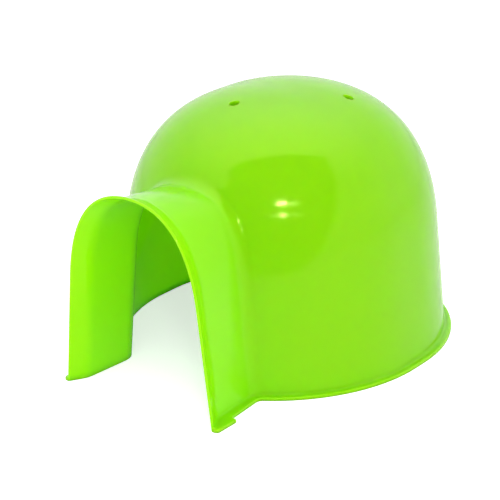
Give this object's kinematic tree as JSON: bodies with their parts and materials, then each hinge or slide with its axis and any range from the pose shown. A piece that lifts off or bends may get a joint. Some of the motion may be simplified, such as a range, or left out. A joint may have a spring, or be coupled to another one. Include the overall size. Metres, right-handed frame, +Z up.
{
  "type": "rodent igloo",
  "caption": "Dome-shaped hide for a small rodent, one thin moulded plastic shell with an arched entrance tunnel, flared mouth, foot flange and vent holes in its crown.",
  "frame": {"origin": "centre of the whole foot's bounding box, on the plane that the igloo stands on", "axes": "+Z up, -Y straight out of the entrance, +X to the right for someone who looks into the entrance"},
  "size_m": [0.146, 0.1758, 0.1122],
  "materials": {
    "shell": "gloss injection-moulded polypropylene, lime green, very slightly translucent"
  },
  "bodies": {
    "root": {"igloo_shell": "shell"}
  },
  "joints": []
}
